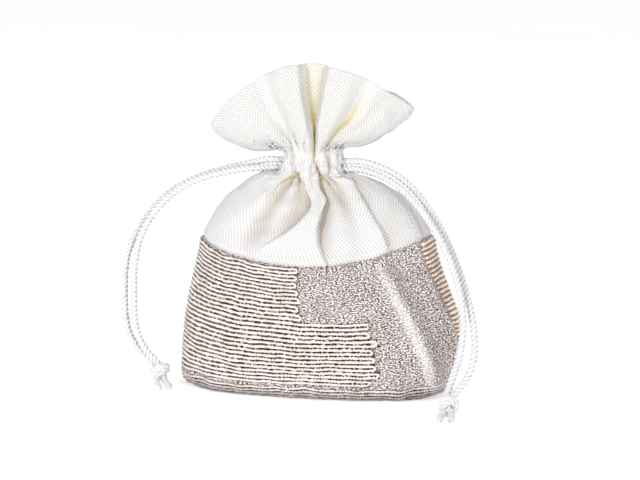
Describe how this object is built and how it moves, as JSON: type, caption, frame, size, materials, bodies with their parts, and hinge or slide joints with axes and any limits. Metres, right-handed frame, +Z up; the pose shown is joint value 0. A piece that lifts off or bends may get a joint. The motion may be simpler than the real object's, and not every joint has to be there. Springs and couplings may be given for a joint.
{
  "type": "drawstring gift pouch",
  "caption": "Small flat-sewn gift pouch that stands filled: ribbed lower cloth, sheer gathered top with a frill, and two knotted drawstrings that close its mouth.",
  "frame": {"origin": "on the standing surface, under the middle of the bag", "axes": "+Z up, +X along the width towards the right side seam, -Y towards the front panel"},
  "size_m": [0.1137, 0.0655, 0.101],
  "materials": {
    "ribbed_lower_cloth": "matte woven",
    "sheer_cloth": "matte open weave",
    "sewing_thread": "matte",
    "satin_cord": "satin"
  },
  "bodies": {
    "pouch": {"lower_front_panel": "ribbed_lower_cloth", "lower_back_panel": "ribbed_lower_cloth", "bottom_seam_allowance": "ribbed_lower_cloth", "left_seam_allowance": "ribbed_lower_cloth", "right_seam_allowance": "ribbed_lower_cloth", "front_yoke_allowance": "sheer_cloth", "back_yoke_allowance": "sheer_cloth", "front_shoulder": "sheer_cloth", "back_shoulder": "sheer_cloth", "left_side_fold": "sheer_cloth", "right_side_fold": "sheer_cloth"},
    "mouth_front": {"front_frill": "sheer_cloth", "front_facing": "sheer_cloth", "front_casing_stitches": "sewing_thread", "left_cord_front_run": "satin_cord", "right_cord_front_run": "satin_cord"},
    "mouth_back": {"back_frill": "sheer_cloth", "back_facing": "sheer_cloth", "back_casing_stitches": "sewing_thread", "left_cord_back_run": "satin_cord", "right_cord_back_run": "satin_cord"},
    "left_drawstring": {"left_cord_vent_run": "satin_cord"},
    "left_loop": {"left_cord_upper_strand": "satin_cord", "left_cord_lower_strand": "satin_cord", "left_knot": "satin_cord", "left_cord_tails": "satin_cord"},
    "right_drawstring": {"right_cord_vent_run": "satin_cord"},
    "right_loop": {"right_cord_upper_strand": "satin_cord", "right_cord_lower_strand": "satin_cord", "right_knot": "satin_cord", "right_cord_tails": "satin_cord"}
  },
  "joints": [
    {"name": "left_drawstring_pull", "type": "slide", "parent": "pouch", "child": "left_drawstring", "axis": [-1, 0, 0], "range_m": [-0.003, 0]},
    {"name": "right_drawstring_pull", "type": "slide", "parent": "pouch", "child": "right_drawstring", "axis": [1, 0, 0], "range_m": [-0.003, 0]},
    {"name": "mouth_front_open", "type": "hinge", "parent": "pouch", "child": "mouth_front", "pos_m": [0, 0, 0.052], "axis": [1, 0, 0], "range_deg": [0, 7]},
    {"name": "mouth_back_open", "type": "hinge", "parent": "pouch", "child": "mouth_back", "pos_m": [0, 0, 0.052], "axis": [-1, 0, 0], "range_deg": [0, 7]},
    {"name": "left_loop_lift", "type": "hinge", "parent": "left_drawstring", "child": "left_loop", "pos_m": [-0.0095, 0, 0.07], "axis": [0, 1, 0], "range_deg": [0, 12]},
    {"name": "right_loop_lift", "type": "hinge", "parent": "right_drawstring", "child": "right_loop", "pos_m": [0.0095, 0, 0.07], "axis": [0, -1, 0], "range_deg": [0, 30]}
  ],
  "couplings": [
    {"joint": "right_drawstring_pull", "follows": "left_drawstring_pull", "ratio": 1},
    {"joint": "mouth_front_open", "follows": "left_drawstring_pull", "rad_per_m": -40},
    {"joint": "mouth_back_open", "follows": "left_drawstring_pull", "rad_per_m": -40}
  ]
}
